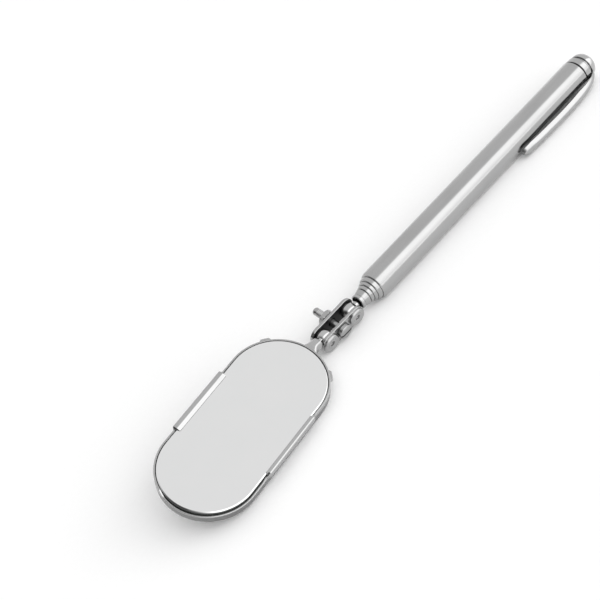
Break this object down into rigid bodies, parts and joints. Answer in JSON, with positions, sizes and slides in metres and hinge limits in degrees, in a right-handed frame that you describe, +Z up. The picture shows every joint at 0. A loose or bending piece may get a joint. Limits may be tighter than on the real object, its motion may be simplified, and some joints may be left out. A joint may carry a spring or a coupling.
{
  "type": "telescoping inspection mirror",
  "caption": "Pocket inspection mirror: oval glass mirror in a pressed steel tray, on a clamped double ball joint at the end of a telescoping steel handle with a pen clip.",
  "frame": {"origin": "middle of the bottom of the bounding box, with the tool lying on its handle, its clip and the mirror tray's rim", "axes": "+X along the handle from the mirror towards the clip end, +Z up; seen from above the clip is on the -Y side"},
  "size_m": [0.1614, 0.0268, 0.0142],
  "materials": {
    "brushed_steel": "satin stainless steel",
    "chrome_steel": "bright polished steel",
    "plated_steel": "nickel plated steel",
    "dark_steel": "blackened steel",
    "brass": "turned brass",
    "bronze": "spring bronze",
    "mirror": "silvered float glass with a ground edge",
    "card": "dark grey card"
  },
  "bodies": {
    "handle": {"handle_tube": "brushed_steel", "end_cap": "chrome_steel", "cap_plug_sleeve": "brass", "cap_washer": "dark_steel", "cap_collar": "brushed_steel", "clip_ring": "chrome_steel"},
    "clip": {"pocket_clip": "chrome_steel"},
    "section_2": {"section_tube_2": "brushed_steel", "stop_bush_2": "brass", "friction_spring_2": "bronze"},
    "section_3": {"section_tube_3": "brushed_steel", "stop_bush_3": "brass", "friction_spring_3": "bronze"},
    "section_4": {"section_tube_4": "brushed_steel", "stop_bush_4": "brass", "friction_spring_4": "bronze"},
    "section_5": {"section_tube_5": "brushed_steel", "stop_bush_5": "brass", "friction_spring_5": "bronze", "tip_ferrule": "brushed_steel", "tip_ring": "chrome_steel"},
    "shaft_ball": {"shaft_ball_stud": "chrome_steel"},
    "link": {"clamp_plate_left": "chrome_steel", "clamp_plate_right": "chrome_steel", "lock_washer": "plated_steel", "clamp_nut": "plated_steel"},
    "screw": {"clamp_screw": "plated_steel"},
    "mirror_ball": {"mirror_ball_stud": "chrome_steel"},
    "mirror_head": {"mirror_tray": "brushed_steel", "backing_card": "card", "mirror_glass": "mirror"}
  },
  "joints": [
    {"name": "slide_2", "type": "slide", "parent": "handle", "child": "section_2", "axis": [-1, 0, 0], "range_m": [0, 0.0675]},
    {"name": "slide_3", "type": "slide", "parent": "section_2", "child": "section_3", "axis": [-1, 0, 0], "range_m": [0, 0.0685]},
    {"name": "slide_4", "type": "slide", "parent": "section_3", "child": "section_4", "axis": [-1, 0, 0], "range_m": [0, 0.0685]},
    {"name": "slide_5", "type": "slide", "parent": "section_4", "child": "section_5", "axis": [-1, 0, 0], "range_m": [0, 0.0685]},
    {"name": "shaft_twist", "type": "hinge", "parent": "section_5", "child": "shaft_ball", "pos_m": [-0.01538, 0.00451, 0.0038], "axis": [1, 0, 0], "continuous": true},
    {"name": "link_swing", "type": "hinge", "parent": "shaft_ball", "child": "link", "pos_m": [-0.01538, 0.00451, 0.0038], "axis": [0.0469, 0.9444, 0.3254], "range_deg": [-60, 60]},
    {"name": "clamp_screw_turn", "type": "hinge", "parent": "link", "child": "screw", "pos_m": [-0.01991, 0.00483, 0.00353], "axis": [0.0469, 0.9444, 0.3254], "range_deg": [0, 180]},
    {"name": "mirror_swing", "type": "hinge", "parent": "link", "child": "mirror_ball", "pos_m": [-0.02414, 0.00512, 0.00328], "axis": [0.0469, 0.9444, 0.3254], "range_deg": [-60, 60]},
    {"name": "mirror_twist", "type": "hinge", "parent": "mirror_ball", "child": "mirror_head", "pos_m": [-0.02414, 0.00512, 0.00328], "axis": [-0.9082, -0.2703, 0.3196], "range_deg": [-90, 90]},
    {"name": "clip_flex", "type": "hinge", "parent": "handle", "child": "clip", "pos_m": [0.07767, 0.00152, 0.00241], "axis": [0, -0.4226, 0.9063], "range_deg": [0, 5], "stiffness_Nm_per_rad": 0.1, "springref_deg": -2.29}
  ]
}
